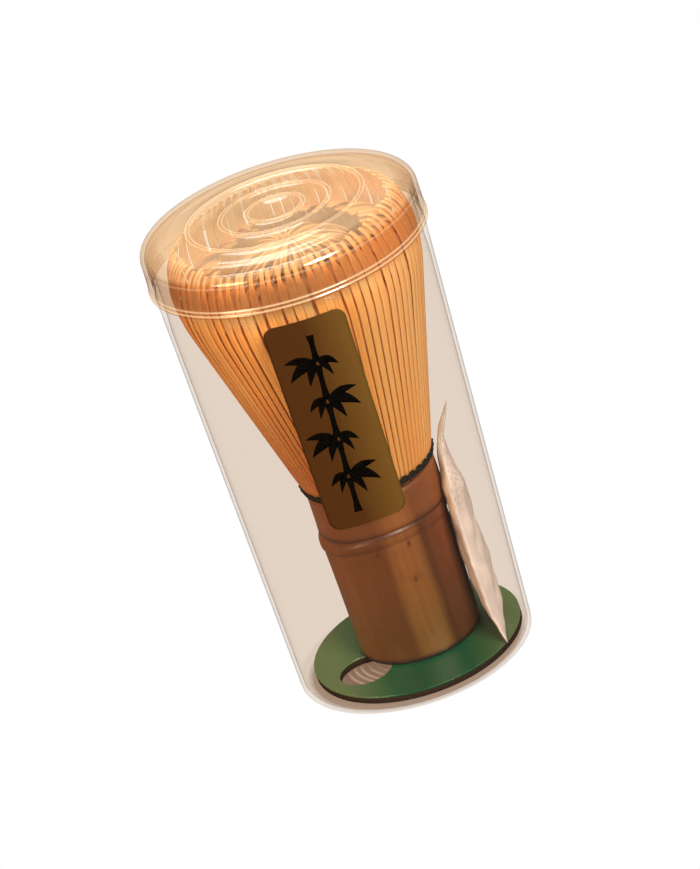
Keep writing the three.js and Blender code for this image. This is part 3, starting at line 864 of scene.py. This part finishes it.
def handle_profile():
    """From the diaphragm, down the bore, round the foot, up the skin and into the cup on top."""
    foot, bore, node, swell = HANDLE_FOOT_RADIUS, HANDLE_BORE_RADIUS, HANDLE_NODE_Z, HANDLE_NODE_RADIUS
    profile = [(0, DIAPHRAGM_Z), (4, DIAPHRAGM_Z - 0.1), (8, DIAPHRAGM_Z - 0.4)]
    profile += [(bore - 0.6, DIAPHRAGM_Z - 1.2)]
    profile += [(bore, z) for z in (DIAPHRAGM_Z - 2.4, 20, 10, 1.0)]
    profile += arc(bore + 0.35, 0.2, 0.35, 180, 250, 3)
    profile += arc(foot - 0.6, 0.45, 0.6, -90, -5, 5)
    profile += [(foot + wider, z) for wider, z in ((0, 2), (0.05, 8), (0.15, 16), (0.25, 22), (0.35, 26))]
    profile += [(foot + 0.42, node - 3.2)]
    # The node's ridges, with the grooves below and between them, each as (height, inset).
    ridges = ((-2.2, 0.42), (-1.9, 0.5), (-1.5, 0.25), (-0.9, 0.05), (-0.2, 0), (0.5, 0.03), (1.0, 0.18),
              (1.3, 0.5), (1.5, 0.52), (1.8, 0.2), (2.3, 0.02), (3.2, 0.05))
    profile += [(swell - inset, node + height) for height, inset in ridges]
    profile += [(HANDLE_TOP_RADIUS - 0.05, node + 5), (HANDLE_TOP_RADIUS - 0.05, node + 7)]
    profile += [(HANDLE_TOP_RADIUS - 0.1, HANDLE_TOP_Z - 1), (HANDLE_TOP_RADIUS - 0.3, HANDLE_TOP_Z + 0.2)]
    cup_z = DIAPHRAGM_Z + 3
    profile += [(bore + 0.6, HANDLE_TOP_Z + 0.2), (bore, cup_z + 1.4), (bore - 1.2, cup_z + 0.2)]
    return profile + [(0, cup_z)]


def natural_culm(point, angle):
    """A culm is never quite round, runs crooked past its node, and the node is uneven."""
    bend_start, bend_length, node_reach = 0.8, 1.4, 3.5
    bend = Matrix.Translation((CROWN_SHIFT, 0, 0)) @ Matrix.Rotation(-CROWN_LEAN * DEGREE, 4, "Y")
    past_node = min(1.0, max(0.0, (point[2] - HANDLE_NODE_Z - bend_start) / bend_length))
    x, y, z = Vector(point).lerp(bend @ Vector(point), past_node)
    oval = 1 + min(1.0, z / 10) * (0.006 * math.sin(2 * angle + 0.7) + 0.004 * math.sin(3 * angle + 2))
    saddle = 0.5 * math.cos(angle) - math.cos(2 * angle) - 0.5
    near_node = math.exp(-(((z - HANDLE_NODE_Z) / node_reach) ** 2))
    return (x * oval, y * oval, z + saddle * near_node)


def make_handle(placement):
    """The uncut culm: hollow at its foot, with the node's ridges and groove outside."""
    vertices, faces = revolve(handle_profile(), segments=144, warp=natural_culm)
    add_piece("culm_handle", vertices, faces, culm_bamboo(), "whisk", "culm_bamboo", ["handle"],
              placement)


def add_outer_tine(pile, angle, pitch, rng):
    """A tine with its end curled over, which strays a little from its neighbours."""
    path = curled_path(rng.uniform(70, 90))
    vertices, faces, values = tine_solid(
        path, angle, tine_width, lambda share: max(0.32, 1.0 - 2 * share),
        rng.uniform(-0.45, 0.1), rng.uniform(-0.25, 0.25) * pitch)
    pile.add(vertices, faces, tone=rng.random(), **values)


def add_hidden_tine(pile, angle, pitch, rng):
    """A thin split strand of the same wedge, which closes the gap behind two outer tines."""
    thickness, below_tip = 0.35, 0.84  # it ends before the pale colour of a tip would start
    path = folded_path(rng.uniform(101.5, 103.5), rng.uniform(14.4, 17))
    vertices, faces, values = tine_solid(
        path, angle, lambda share: 0.35 + 0.6 * min(1.0, share / 0.8),
        lambda share: thickness, 0, rng.uniform(-0.2, 0.2) * pitch)
    values["along"] = [below_tip * along for along in values["along"]]
    # Their darker tones are painted shade, for a strand lying in shadow behind the outer tines.
    pile.add(vertices, faces, tone=rng.uniform(0.4, 1.1), **values)


def make_outer_tines(placement):
    """Sixteen wedges of five tines, each with a hidden tine behind it."""
    # The last colour is the painted shade where the tines bend over.
    bamboo = tine_bamboo("tine_bamboo", (0.42, 0.17, 0.045), (0.82, 0.43, 0.13), (0.9, 0.68, 0.38),
                         0.925, (0.5, 0.66, 0.76))
    rng = random.Random(80)
    pitch = FULL_TURN / TINE_COUNT
    for comb in range(COMB_COUNT):
        pile = Pile()
        for tine in range(TINES_PER_COMB):
            place = comb * TINES_PER_COMB + tine - 2
            add_outer_tine(pile, place * pitch, pitch, rng)
            add_hidden_tine(pile, (place + 0.5) * pitch, pitch, rng)
        add_piece(f"tines_{comb + 1:02d}", pile.vertices, pile.faces, bamboo, "whisk", "tine_bamboo",
                  [f"outer_tines_{comb + 1:02d}"], placement, pile.values)


def make_inner_tines(placement):
    """The inner tines stand in a barrel, and their ends lie over one another in a swirl."""
    # The inner tines' body colour is darker than the outer tines', as painted shade for the deep gap inside
    # the crown.
    bamboo = tine_bamboo("inner_tine_bamboo", (0.42, 0.17, 0.045), (0.58, 0.31, 0.11),
                         (0.9, 0.62, 0.3), 0.88, (1, 1, 1))
    rng = random.Random(160)
    pile = Pile()
    pitch = FULL_TURN / TINE_COUNT
    for tine in range(TINE_COUNT):
        layer = tine % 2
        path = drawn_in_path(CORE_TOP_Z - rng.uniform(0, 2.5) - layer, rng.uniform(1.2, 4))
        vertices, faces, values = tine_solid(
            path, (tine + 0.5) * pitch, lambda share: 0.52 - 0.26 * share**2,
            lambda share: 0.6 - 0.3 * share, -1.1 * layer - rng.uniform(0, 0.6),
            rng.uniform(3, 6) * pitch)
        pile.add(vertices, faces, tone=rng.random(), **values)
    add_piece("inner_bundle", pile.vertices, pile.faces, bamboo, "whisk", "inner_tine_bamboo",
              ["inner_tines"], placement, pile.values)


def make_thread(placement):
    """One thread, wound three times. Its last turn weaves over one tine and under the next."""
    per_turn, sides = TINE_COUNT * 6, 8
    start, rise_per_turn, weave_start = 0.75, 0.45, 1.8
    rings = []
    for k in range(THREAD_TURNS * per_turn + 1):
        angle = FULL_TURN * k / per_turn
        turn = k / per_turn
        weave = 0.1 + 0.9 * max(0.0, turn - weave_start) / (THREAD_TURNS - weave_start)
        over = math.cos(angle * TINE_COUNT / 2 + math.pi * math.floor(turn)) * weave
        z = TINE_ROOT_Z + start + rise_per_turn * turn - 0.4 * math.sin(angle) + 0.4 * over
        ring_radius = crown_radius(z) + 0.22 + 0.1 * over
        ring = []
        for i in range(sides):
            turned = FULL_TURN * i / sides
            r = ring_radius + THREAD_RADIUS * math.cos(turned)
            ring.append((r * math.cos(angle), r * math.sin(angle), z + THREAD_RADIUS * math.sin(turned)))
        rings.append(ring)
    vertices, faces = sweep(rings)
    add_piece("thread_binding", vertices, faces, thread_cotton(), "whisk", "black_thread",
              ["binding_thread"], placement)


# ---- Pad ----


def green_laminate():
    """Printed green card under a clear film, with a painted sheen that pales it toward its left and right."""
    s = Shader("green_card")
    grain = s.noise(700, 4, 0.6)
    colour = s.ramp(s.noise(60, 2), [(0.3, (0.001, 0.07, 0.03)), (0.7, (0.003, 0.095, 0.042))])
    side = s.math("ABSOLUTE", s.split(s.position())[0])
    # Painted reflection: a patchy pale sheen toward the card's left and right.
    painted_sheen = s.times(s.levels(side, 0.009, 0.02, 0, 0.75), s.levels(grain, 0.2, 0.8, 0.7, 1.0))
    colour = s.mix(painted_sheen, colour, (0.13, 0.175, 0.07))
    return s.finish(s.principled(Base_Color=colour, Roughness=0.25, Coat_Weight=0.25,
                                 Coat_Roughness=0.08, Normal=s.bump(grain, 0.05, 0.0001)))


def brown_board():
    s = Shader("brown_board")
    grain = s.noise(900, 5, 0.7, along=3)
    # Near black: partly the board's own dark brown, partly painted shade for the gap under the pad.
    colour = s.ramp(grain, [(0.3, (0.006, 0.003, 0.001)), (0.75, (0.03, 0.014, 0.006))])
    return s.finish(s.principled(Base_Color=colour, Roughness=0.85, Specular_IOR_Level=0.2,
                                 Normal=s.bump(grain, 0.5, 0.0002)))


def disc_with_hole(top, bottom, edge):
    """A flat disc with a round hole off its middle and slightly rounded rims."""
    sides = 144
    angles = np.arange(sides) * FULL_TURN / sides
    hole = np.array(PAD_HOLE_CENTRE)
    middle = np.array(PAD_CENTRE)
    rim = np.stack([middle + PAD_RADIUS * np.array([math.cos(a), math.sin(a)]) for a in angles])
    toward = rim - hole
    toward /= np.linalg.norm(toward, axis=1)[:, None]
    inner = hole + PAD_HOLE_RADIUS * toward
    outward = (rim - middle) / PAD_RADIUS
    loops = [(inner + toward * edge, top), (inner, top - edge), (inner, bottom + edge),
             (inner + toward * edge, bottom)]
    spans = (0.25, 0.5, 0.75)
    near = 4 * edge
    under = [(inner + toward * near, bottom)] + [(inner + (rim - inner) * t, bottom) for t in spans]
    under.append((rim - outward * near, bottom))
    over = [(ring, top) for ring, _ in under[::-1]]
    loops += under + [(rim - outward * edge, bottom), (rim, bottom + edge), (rim, top - edge),
                      (rim - outward * edge, top)] + over
    rings = [[(x, y, z) for x, y in loop] for loop, z in loops]
    return sweep(rings, closed=True)


def make_pad(placement):
    card = disc_with_hole(CARD_TOP_Z, CARD_BOTTOM_Z, edge=0.06)
    add_piece("pad_card", *card, green_laminate(), "pad", "green_card", ["green_card"], placement)
    board = disc_with_hole(BOARD_TOP_Z, BOARD_BOTTOM_Z, edge=0.12)
    add_piece("pad_board", *board, brown_board(), "pad", "brown_board", ["backing_board"], placement)


# ---- Sachet ----


def sachet_film_plastic():
    """Glossy clear film, whiter in its upper part."""
    s = Shader("sachet_film")
    normal = s.bump(s.noise(300, 4, 0.6, along=0.5), 0.8, 0.0006)
    through = s.node("ShaderNodeBsdfTransparent")
    through.inputs["Color"].default_value = (0.96, 0.93, 0.91, 1)
    upper_part = s.levels(s.split(s.position())[2], 0.026, 0.034)
    colour = s.mix(upper_part, (0.66, 0.6, 0.62), (0.95, 0.9, 0.84))
    film = s.principled(Base_Color=colour, Roughness=0.18, Normal=normal)
    return s.finish(s.blend(s.levels(s.facing(normal), 0.1, 1.0, 0.6, 0.9), through.outputs[0], film))


def sachet_paper_fibre():
    """White fibre paper, speckled in its upper part."""
    s = Shader("sachet_paper")
    fibre = s.noise(1500, 5, 0.7)
    colour = s.ramp(s.noise(220, 3), [(0.3, (0.6, 0.56, 0.56)), (0.65, (0.76, 0.71, 0.71))])
    upper_part = s.levels(s.split(s.position())[2], 0.028, 0.034)
    speckle = s.times(s.levels(s.noise(1100, 2), 0.54, 0.6, 0, 0.45), upper_part)
    colour = s.mix(speckle, colour, (0.36, 0.28, 0.18))
    return s.finish(s.principled(Base_Color=colour, Roughness=0.7, Normal=s.bump(fibre, 0.3, 0.0001)))


def gel_beads():
    s = Shader("silica_gel")
    colour = s.ramp(s.attribute("tone"), [(0.0, (0.75, 0.66, 0.55)), (1.0, (0.93, 0.9, 0.86))])
    return s.finish(s.principled(Base_Color=colour, Roughness=0.15, Coat_Weight=0.5))


def crease_height(across, up, seed):
    """Crumples of a thin sheet: a few folded waves, each running its own way."""
    waves = 0.0
    for k in range(1, 5):
        turn = seed + 1.7 * k
        run = across * math.cos(turn) + up * math.sin(turn)
        waves += abs(math.sin(run * (0.16 + 0.13 * k) + seed * k)) / k
    return waves - 1.0


def sachet_point(u, v):
    """The middle surface of the sachet: u runs from front to back and v from foot to top, -1 to 1."""
    share = (v + 1) / 2
    up = share * SACHET_HEIGHT - (1 - u) * (1 - share) ** 3
    half = float(np.interp(share, (0, 0.66, 0.76, 0.84, 1), (14.4, 11, 6.5, 1.5, 0.5)))
    bow = float(np.interp(share, (0, 0.15, 0.35, 0.6, 0.78, 0.86, 1), (0, -1.5, -2.6, -3.2, -3.1, -2.5, 0.8)))
    bow += 0.8 * max(0.0, 1 - share / 0.12)
    yaw = u * half * 0.05
    return Vector((bow + yaw, u * half, up))


def rest_on_culm(point, clearance, to_whisk):
    """Moves a point of the sachet out to the culm's surface, where it would be inside the culm."""
    seen = (to_whisk @ (point * MM)) / MM
    surface = float(np.interp(seen.z, CULM_HEIGHTS, CULM_RADII)) + clearance
    away = math.hypot(seen.x, seen.y)
    if away >= surface:
        return point
    seen.x, seen.y = seen.x * surface / away, seen.y * surface / away
    return (to_whisk.inverted() @ (seen * MM)) / MM


def make_sachet_sheet(name, bulge, side, seed, material, node, placement):
    """One side of the sachet: swollen in the middle, creased, with a flat crimped seal."""
    rows, columns, clearance = 64, 34, 0.1
    to_whisk = whisk_placement().inverted() @ placement

    def point(u, v, lift):
        x, across, up = sachet_point(u, v)
        rim = (1 - u * u) * (1 - v * v)
        belly = (1 - abs(u) ** 2.6) * (1 - abs(v) ** 5) * (1.05 - 0.2 * v)
        belly *= 1 - 0.8 * min(1.0, max(0.0, (v - 0.3) / 0.4))
        crimp = 0.06 * math.sin(up * 5.2) * (1 - min(1, rim * 8))
        creases = 0.5 * crease_height(across, up, seed) * min(1, rim * 3)
        swell = max(0.0, bulge * belly + creases)
        free = Vector((x + side * (0.02 + lift + swell) + crimp, across, up))
        return rest_on_culm(free, clearance + SHEET_THICKNESS - lift, to_whisk)

    vertices = [point(u, v, lift) for lift in (0, SHEET_THICKNESS)
                for v in np.linspace(-1, 1, rows) for u in np.linspace(-1, 1, columns)]
    faces = sheet_faces(rows, columns)
    if side < 0:
        faces = [face[::-1] for face in faces]
    piece = add_piece(name, vertices, faces, material, "sachet", node, [node], placement)


def make_gel(placement):
    """Loose beads in the lower three quarters of the sachet."""
    rng = random.Random(7)
    pile = Pile()
    bead_count, sides = 300, 8
    ball = [[(math.sin(a) * math.cos(b), math.sin(a) * math.sin(b), math.cos(a))
             for b in np.arange(sides) * FULL_TURN / sides] for a in np.array((45, 90, 135)) * DEGREE]
    for _ in range(bead_count):
        u, v = rng.uniform(-0.78, 0.78), rng.uniform(-0.75, 0.55)
        middle, across, up = sachet_point(u, v)
        radius = rng.uniform(0.35, 0.55)
        depth = middle + rng.uniform(-0.7, 0.7)
        rings = [[(depth + radius * x, across + radius * y, up + radius * z) for x, y, z in ring]
                 for ring in ball]
        pile.add(*sweep(rings), tone=rng.random())
    add_piece("gel_beads", pile.vertices, pile.faces, gel_beads(), "sachet", "silica_gel",
              ["silica_gel"], placement, pile.values)


def make_sachet(placement):
    make_sachet_sheet("sachet_back", 3.1, 1, 2.3, sachet_paper_fibre(), "sachet_paper", placement)
    make_sachet_sheet("sachet_front", 1.4, -1, 0.9, sachet_film_plastic(), "sachet_film", placement)
    make_gel(placement)


# ---- Assembly ----

make_camera()
make_stage()
make_tube()
make_lid()
make_label()
make_label_ink()
whisk_frame = whisk_placement()
make_handle(whisk_frame)
crown_frame = crown_placement()
make_outer_tines(crown_frame)
make_inner_tines(crown_frame)
make_thread(crown_frame)
make_pad(whisk_frame)
make_sachet(sachet_placement())
